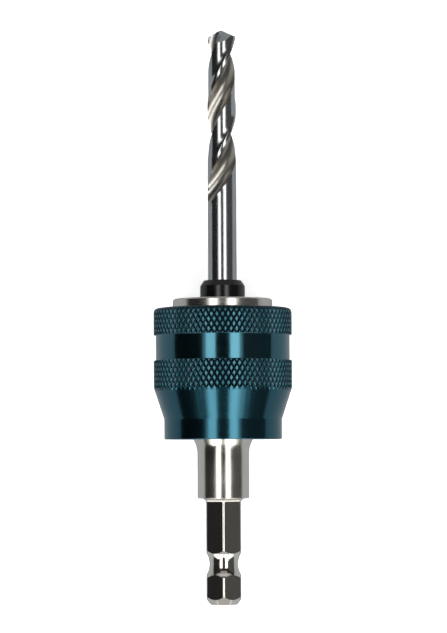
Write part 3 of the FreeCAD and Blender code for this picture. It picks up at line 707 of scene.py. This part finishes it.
def knurl_tree():
    """Cuts a diamond knurl into a turned form.

    The cutter is a closed shell whose rows and columns meet at the tips and at the crossings of the
    grooves, one after the other. Outside the knurled rows it stands clear of the piece.
    """
    tree = bpy.data.node_groups.new("diamond_knurl", "GeometryNodeTree")
    panel = tree.interface
    panel.new_socket("Piece", in_out="INPUT", socket_type="NodeSocketGeometry")
    for name in ("Teeth", "Rows", "First knurled row", "Last knurled row"):
        panel.new_socket(name, in_out="INPUT", socket_type="NodeSocketInt")
    for name in ("Start", "Half pitch", "Root radius", "Tip radius", "Clear radius"):
        panel.new_socket(name, in_out="INPUT", socket_type="NodeSocketFloat")
    panel.new_socket("Finish", in_out="INPUT", socket_type="NodeSocketMaterial")
    panel.new_socket("Piece", in_out="OUTPUT", socket_type="NodeSocketGeometry")

    def node(kind, **sources):
        made = tree.nodes.new(kind)
        for name, source in sources.items():
            feed(tree, made.inputs[name.replace("_", " ")], source)
        return made

    def maths(operation, *sources):
        return add_maths(tree, operation, *sources)

    sizes = tree.nodes.new("NodeGroupInput").outputs
    columns = maths("MULTIPLY", sizes["Teeth"], 2.0)
    grid = node(
        "GeometryNodeMeshGrid",
        Size_X=1.0,
        Size_Y=1.0,
        Vertices_X=maths("ADD", columns, 1.0),
        Vertices_Y=sizes["Rows"],
    )
    split = node("ShaderNodeSeparateXYZ", Vector=tree.nodes.new("GeometryNodeInputPosition").outputs[0])
    last_row = maths("SUBTRACT", sizes["Rows"], 1.0)
    column = maths("ROUND", maths("MULTIPLY", maths("ADD", split.outputs["X"], 0.5), columns))
    row = maths("ROUND", maths("MULTIPLY", maths("ADD", split.outputs["Y"], 0.5), last_row))
    is_tip = maths("MODULO", maths("ADD", column, row), 2.0)
    rise = maths("MULTIPLY", is_tip, maths("SUBTRACT", sizes["Tip radius"], sizes["Root radius"]))
    knurled = maths("ADD", sizes["Root radius"], rise)
    after_first = maths("GREATER_THAN", row, maths("SUBTRACT", sizes["First knurled row"], 0.5))
    before_last = maths("LESS_THAN", row, maths("ADD", sizes["Last knurled row"], 0.5))
    inside = maths("MULTIPLY", after_first, before_last)
    clear_part = maths("MULTIPLY", maths("SUBTRACT", 1.0, inside), sizes["Clear radius"])
    shell = maths("ADD", maths("MULTIPLY", inside, knurled), clear_part)
    past_start = maths("GREATER_THAN", row, 0.5)
    before_end = maths("LESS_THAN", row, maths("SUBTRACT", last_row, 0.5))
    radius = maths("MULTIPLY", shell, maths("MULTIPLY", past_start, before_end))
    angle = maths("DIVIDE", maths("MULTIPLY", column, TURN), columns)
    place = node(
        "ShaderNodeCombineXYZ",
        X=maths("ADD", sizes["Start"], maths("MULTIPLY", row, sizes["Half pitch"])),
        Y=maths("MULTIPLY", radius, maths("SINE", angle)),
        Z=maths("MULTIPLY", radius, maths("COSINE", angle)),
    )
    moved = node("GeometryNodeSetPosition", Geometry=grid.outputs["Mesh"], Position=place.outputs[0])
    closed = node("GeometryNodeMergeByDistance", Geometry=moved.outputs[0], Distance=WELD)
    faceted = node("GeometryNodeTriangulate", Mesh=closed.outputs[0])
    outward = node("GeometryNodeFlipFaces", Mesh=faceted.outputs[0])
    cut = tree.nodes.new("GeometryNodeMeshBoolean")
    cut.operation = "INTERSECT"
    cut.solver = "EXACT"
    for source in (sizes["Piece"], outward.outputs[0]):
        tree.links.new(source, cut.inputs[1])
    real = node("GeometryNodeRealizeInstances", Geometry=cut.outputs[0])
    finished = node("GeometryNodeSetMaterial", Geometry=real.outputs[0], Material=sizes["Finish"])
    output = tree.nodes.new("NodeGroupOutput")
    tree.links.new(finished.outputs[0], output.inputs[0])
    return tree


def add_tree(piece, tree, **values):
    """Puts a node tree on a piece with its named inputs set."""
    modifier = piece.modifiers.new(tree.name, "NODES")
    modifier.node_group = tree
    for item in tree.interface.items_tree:
        key = item.name.replace(" ", "_")
        if item.in_out == "INPUT" and key in values:
            modifier[item.identifier] = values[key]


def make_sleeve(material):
    drill_cam_end = WEB_BORE_RADIUS + (HEAD_AT - DRILL_CAM_AT) * CAM_SLOPE
    saw_cam_end = HEAD_BORE_RADIUS + (SAW_CAM_END - SAW_CAM_AT) * CAM_SLOPE
    outline = [
        (SLEEVE_AT, CHAMBER_RADIUS + CHAMBER_EDGE, TURNED_EDGE),
        (SLEEVE_AT, SKIRT_RADIUS, SKIRT_EDGE),
        (TAPER_AT, SKIRT_RADIUS, TURNED_EDGE),
        (REAR_BAND_AT, CREST_RADIUS, REAR_BAND_EDGE),
        (WAIST_FROM, CREST_RADIUS, BAND_EDGE),
        (WAIST_FROM, WAIST_RADIUS, BAND_EDGE),
        (WAIST_TO, WAIST_RADIUS, BAND_EDGE),
        (WAIST_TO, CREST_RADIUS, BAND_EDGE),
        (SLEEVE_FRONT, CREST_RADIUS, FRONT_ROUNDING),
        (SLEEVE_FRONT, saw_cam_end, TURNED_EDGE),
        (SAW_CAM_END, saw_cam_end, 0),
        (SAW_CAM_AT, HEAD_BORE_RADIUS, 0),
        (HEAD_AT, HEAD_BORE_RADIUS, 0),
        (HEAD_AT, drill_cam_end, 0),
        (DRILL_CAM_AT, WEB_BORE_RADIUS, 0),
        (WEB_AT, WEB_BORE_RADIUS, 0),
        (WEB_AT, CHAMBER_RADIUS, 0),
        (SLEEVE_AT + CHAMBER_EDGE, CHAMBER_RADIUS, TURNED_EDGE),
    ]
    form = skin(eased(outline, closed=True, steps=5), even_angles(SLEEVE_COLUMNS), closed=True)
    piece = new_piece("sleeve", form, material)
    half_pitch = KNURL_PITCH / 2
    start = REAR_BAND_AT - KNURL_LEAD - LEAD_ROWS * half_pitch
    rows = math.ceil((SLEEVE_FRONT - start) / half_pitch) + SPARE_ROWS
    add_tree(
        piece,
        knurl_tree(),
        Teeth=TEETH,
        Rows=rows,
        First_knurled_row=LEAD_ROWS,
        Last_knurled_row=rows - SPARE_ROWS + 1,
        Start=shank_end + start * MM,
        Half_pitch=half_pitch * MM,
        Root_radius=ROOT_RADIUS * MM,
        Tip_radius=TIP_RADIUS * MM,
        Clear_radius=CLEAR_RADIUS * MM,
        Finish=material,
    )
    apply_modifiers(piece)
    shade(piece.data)
    return piece


# Pilot drill, with its own stations counted from its tail

DRILL_LENGTH = 85.0
TAIL_LENGTH = 11.8
TAIL_STEP = 0.01
TAIL_FACE_RADIUS = 2.695
TAIL_EDGE = 0.02
TAIL_EDGE_LENGTH = 0.1
TAIL_GROOVE_FLOOR = 2.855
TAIL_GROOVE_HOLLOW = 2.59
SHANK_OVERLAP = 0.02
DRILL_SMOOTH_LIMIT = math.radians(30)

# Flutes and point, with angles in degrees
FLUTE_START = 40.8
FLUTE_RUNOUT = 9.0
FLUTE_RUN_IN = 0.15
FLUTE_LEAD = 40.3
FLUTE_SIDE_STATION = 79.25
FLUTE_OPENING = 93.0
WEB_AT_POINT = 1.5
WEB_GAIN = 0.024
MARGIN_ANGLE = 14.0
POINT_ANGLE = 135.0
LIP_RELIEF = 12.0
HEEL_RELIEF = 48.0
HEEL_TURN = 20.0
HEEL_OFFSET = 0.2
RELIEF_START = 54.8
RELIEF_RUN_IN = 3.0
GRINDING_STOCK = 0.4

# Points this near to a grinding plane, in metres, lie on it
ON_PLANE = 1e-9

# Steps of each part of the section, and the distance between sections
FLUTE_STEPS = 22
LAND_STEPS = 12
RISE_STEPS = 6
MARGIN_STEPS = 4
FLUTE_ROW = 0.35


def flute_angle(station):
    """Direction of a flute's middle at a station of the drill."""
    return math.pi / 2 + TURN * (station - FLUTE_SIDE_STATION) / FLUTE_LEAD


def through_circle(first, middle, last, count):
    """Points along the arc through three points in a plane, the last one left out."""
    ax, ay = first
    bx, by = middle
    cx, cy = last
    area = 2 * (ax * (by - cy) + bx * (cy - ay) + cx * (ay - by))
    first_square, middle_square, last_square = (x * x + y * y for x, y in (first, middle, last))
    x = (first_square * (by - cy) + middle_square * (cy - ay) + last_square * (ay - by)) / area
    y = (first_square * (cx - bx) + middle_square * (ax - cx) + last_square * (bx - ax)) / area
    radius = math.hypot(ax - x, ay - y)
    start = math.atan2(ay - y, ax - x)
    sweep = (math.atan2(cy - y, cx - x) - start + math.pi) % TURN - math.pi
    through = (math.atan2(by - y, bx - x) - start + math.pi) % TURN - math.pi
    if sweep * through < 0:
        sweep -= math.copysign(TURN, sweep)
    turns = [start + sweep * step / count for step in range(count)]
    return [(x + radius * math.cos(turn), y + radius * math.sin(turn)) for turn in turns]


def smooth_step(share):
    """0 to 1, level at both ends."""
    held = min(1.0, max(0.0, share))
    return held * held * (3 - 2 * held)


def drill_section(station):
    """Outline of the twisted drill at a station: two round flutes and two relieved lands."""
    swell = math.sin(math.pi / 2 * min(1.0, (station - FLUTE_START) / FLUTE_RUNOUT))
    full_web = WEB_AT_POINT + WEB_GAIN * (DRILL_LENGTH - station)
    web = DRILL_RADIUS - (DRILL_RADIUS - full_web / 2) * swell
    half_opening = math.radians(FLUTE_OPENING / 2) * math.sqrt(swell)
    land = DRILL_RADIUS - BODY_CLEARANCE * smooth_step(1 + (station - RELIEF_START) / RELIEF_RUN_IN)
    margin = math.radians(MARGIN_ANGLE)
    rise = math.acos(land / DRILL_RADIUS)
    side_on = flute_angle(station)

    def at(radius, angle):
        return radius * math.cos(angle + side_on), radius * math.sin(angle + side_on)

    def round_arc(radius, start, end, count):
        return [at(radius, start + (end - start) * step / count) for step in range(count)]

    section = []
    for side in (0.0, math.pi):
        lip = at(DRILL_RADIUS, side - half_opening)
        heel = at(land, side + half_opening)
        section += through_circle(lip, at(web, side), heel, FLUTE_STEPS)
        margin_start = side + math.pi - half_opening - margin
        section += round_arc(land, side + half_opening, margin_start - rise, LAND_STEPS)
        for step in range(RISE_STEPS):
            along = math.tan(rise) * step / RISE_STEPS
            section.append(at(land * math.hypot(1, along), margin_start - rise + math.atan(along)))
        section += round_arc(DRILL_RADIUS, margin_start, side + math.pi - half_opening, MARGIN_STEPS)
    return section


def drawn_point(station, across):
    """A point of the drill from its section's own X and Y."""
    x, y = across
    return Vector((shank_end + (DRILL_STATION + station) * MM, y * MM, -x * MM))


def twisted_form():
    first = FLUTE_START + FLUTE_RUN_IN
    last = DRILL_LENGTH + GRINDING_STOCK
    steps = math.ceil((last - first) / FLUTE_ROW)
    rings = []
    for step in range(steps + 1):
        station = first + (last - first) * step / steps
        rings.append([drawn_point(station, across) for across in drill_section(station)])
    form = lofted(rings)
    grind_point(form)
    return form


def turned(axis, degrees):
    return Matrix.Rotation(math.radians(degrees), 3, axis)


def grind_point(form):
    """Two flanks, each falling away behind its lip, and the steeper facets that split the point."""
    lips = math.degrees(flute_angle(DRILL_LENGTH)) - FLUTE_OPENING / 2
    apex = drawn_point(DRILL_LENGTH, (0.0, 0.0))
    behind = Vector((0, -HEEL_OFFSET * MM, 0))
    for side in (0, 180):
        facing = turned("Y", 90) @ turned("Z", lips + side)
        flank = facing @ turned("Y", 90 - POINT_ANGLE / 2) @ turned("X", LIP_RELIEF)
        past_lip = facing @ turned("Z", -HEEL_TURN)
        grind(form, apex, flank)
        grind(form, apex + past_lip @ behind, past_lip @ turned("X", HEEL_RELIEF))


def grind(form, place, pose):
    """Removes what lies above a plane and closes the cut."""
    cut = bmesh.ops.bisect_plane(
        form,
        geom=form.verts[:] + form.edges[:] + form.faces[:],
        plane_co=place,
        plane_no=pose @ Vector((0, 0, 1)),
        clear_outer=True,
        dist=ON_PLANE,
    )
    edges = [item for item in cut["geom_cut"] if isinstance(item, bmesh.types.BMEdge)]
    bmesh.ops.contextual_create(form, geom=edges)


def make_drill(material):
    tail = hexagon(DRILL_RADIUS * math.cos(NEXT_FLAT))
    tail_end = DRILL_STATION + TAIL_LENGTH
    flutes = DRILL_STATION + FLUTE_START + FLUTE_RUN_IN
    rows = [
        fixed(DRILL_STATION, TAIL_FACE_RADIUS),
        lambda angle: (DRILL_STATION + TAIL_EDGE_LENGTH, tail(angle) - TAIL_EDGE),
        *groove(tail, DRILL_BALL_STATION, TAIL_GROOVE_FLOOR, TAIL_GROOVE_HOLLOW, steps=6)[1:],
        lambda angle: (tail_end, tail(angle)),
        fixed(tail_end + TAIL_STEP, DRILL_RADIUS),
        fixed(flutes + SHANK_OVERLAP, DRILL_RADIUS),
    ]
    piece = new_piece("drill", twisted_form(), material)
    shank = new_piece("drill_shank", skin(rows, COLUMNS), material)
    combine(piece, shank, "UNION", DRILL_SMOOTH_LIMIT)
    return piece


# Sleeve spring

# Points across the spring's seams are nearer to each other than this
SEAM = 0.0001


def make_spring(material):
    """The spring's own solid, with its seams closed, as a piece that the sleeve presses together."""
    form = bmesh.new()
    form.from_mesh(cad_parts["sleeve_spring"].data)
    bmesh.ops.remove_doubles(form, verts=form.verts, dist=SEAM * MM)
    return new_piece("return_spring", form, material)


# Assembly

nickel = nickel_plate()
blue = blue_anodising()
black = black_oxide()
tool_steel = ground_tool_steel()
spring_finish = spring_steel()
ball_finish = ball_steel()
spring = make_spring(spring_finish)

for piece, body, node, slot in (
    (make_mandrel(nickel), "mandrel", "mandrel_body", "nickel_plate"),
    (make_bush(black), "mandrel", "pilot_bush", "black_oxide"),
    (make_drill(tool_steel), "mandrel", "pilot_drill", "ground_tool_steel"),
    (make_sleeve(blue), "sleeve", "release_sleeve", "blue_anodising"),
    (spring, "spring_pack", "sleeve_spring", "spring_steel"),
):
    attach(piece, body)
    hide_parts(node)

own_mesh(spring)


def refinish(node, material):
    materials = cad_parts[node].data.materials
    materials.clear()
    materials.append(material)


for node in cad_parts:
    if node in ("retaining_ring", "spring_washer"):
        refinish(node, spring_finish)
    elif "ball" in node:
        refinish(node, ball_finish)

# Floor and light

FLOOR_SIZE = 6.0
floor_form = bmesh.new()
bmesh.ops.create_grid(
    floor_form,
    x_segments=1,
    y_segments=1,
    size=FLOOR_SIZE,
    matrix=Matrix.Translation((0, 0, cad_box[0].z)),
)
floor = placed("floor", floor_form)
floor.data.materials.append(studio_white())

DOWN = (0, 0, -1)
TO_POINT = (1, 0, 0)
TO_SHANK = (-1, 0, 0)
ACROSS = (0, 1, 0)


def soft_box(name, centre, facing, size, radiance):
    """A large even light panel with its centre and size in metres."""
    light = bpy.data.lights.new(name, "AREA")
    light.shape = "RECTANGLE"
    light.size, light.size_y = size
    light.energy = radiance * math.pi * size[0] * size[1]
    lamp = bpy.data.objects.new(name, light)
    lamp.location = centre
    lamp.rotation_euler = Vector(facing).to_track_quat("-Z", "Y").to_euler()
    lamp.visible_camera = False
    bpy.context.scene.collection.objects.link(lamp)


for side, core_radiance in ((1, 2.2), (-1, 2.6)):
    soft_box(f"box_core_{side}", (-0.95, 0.385 * side, 1.0), DOWN, (2.5, 0.33), core_radiance)
    soft_box(f"box_halo_{side}", (-0.95, 0.46 * side, 1.01), DOWN, (2.5, 0.46), 0.8)
    soft_box(f"flare_box_{side}", (-1.7, 0.625 * side, 1.0), DOWN, (1.4, 1.05), 2.0)
    soft_box(f"shank_card_{side}", (-1.0, 0.8 * side, 0.475), TO_POINT, (0.7, 0.95), 1.8)
soft_box("end_card", (-1.0, 0.0, 0.475), TO_POINT, (0.9, 0.95), 0.5)
soft_box("cone_box", (-0.8, -0.65, 1.0), DOWN, (0.4, 0.5), 1.2)
soft_box("tip_card", (1.2, 0.0, 0.4), TO_SHANK, (2.0, 0.85), 0.35)
soft_box("point_card", (0.9, 0.0, 0.85), TO_SHANK, (1.0, 0.9), 0.38)
soft_box("right_fill", (-0.1, -1.2, 0.775), ACROSS, (2.0, 1.45), 0.065)

# The world is white to the camera and nearly dark to the pieces
SEEN_WHITE = (0.97, 0.97, 0.97, 1)
DARK_STRENGTH = 0.02

world = bpy.data.worlds.new("studio")
world.use_nodes = True
nodes = world.node_tree.nodes
nodes.clear()
seen = nodes.new("ShaderNodeBackground")
seen.inputs["Color"].default_value = SEEN_WHITE
dark = nodes.new("ShaderNodeBackground")
dark.inputs["Color"].default_value = (1, 1, 1, 1)
dark.inputs["Strength"].default_value = DARK_STRENGTH
choice = nodes.new("ShaderNodeMixShader")
paths = nodes.new("ShaderNodeLightPath")
sky = nodes.new("ShaderNodeOutputWorld")
for source, target in (
    (paths.outputs["Is Camera Ray"], choice.inputs[0]),
    (dark.outputs[0], choice.inputs[1]),
    (seen.outputs[0], choice.inputs[2]),
    (choice.outputs[0], sky.inputs["Surface"]),
):
    world.node_tree.links.new(source, target)
bpy.context.scene.world = world

# Camera, above the arbor with the shank towards the lower edge of the picture

PHOTO_HEIGHT = 633
FOCAL_PIXELS = 2760
SENSOR_WIDTH = 36.0
CAMERA_DISTANCE = 0.69
CAMERA_LEAN = math.radians(2.7)
CAMERA_ROLL = math.radians(0.28)
CAMERA_TARGET = Vector((-0.00435, -0.00022, 0.0))

camera_data = bpy.data.cameras.new("camera")
camera_data.sensor_width = SENSOR_WIDTH
camera_data.lens = FOCAL_PIXELS / PHOTO_HEIGHT * SENSOR_WIDTH
camera = bpy.data.objects.new("camera", camera_data)
bpy.context.scene.collection.objects.link(camera)
back = Vector((-math.sin(CAMERA_LEAN), 0, math.cos(CAMERA_LEAN)))
right = Vector((0, -1, 0))
upward = back.cross(right)
rolled_right = right * math.cos(CAMERA_ROLL) - upward * math.sin(CAMERA_ROLL)
rolled_up = upward * math.cos(CAMERA_ROLL) + right * math.sin(CAMERA_ROLL)
axes = Matrix((rolled_right, rolled_up, back)).transposed()
camera.matrix_world = Matrix.Translation(CAMERA_TARGET + back * CAMERA_DISTANCE) @ axes.to_4x4()
bpy.context.scene.camera = camera
bpy.context.scene.view_settings.view_transform = "Standard"
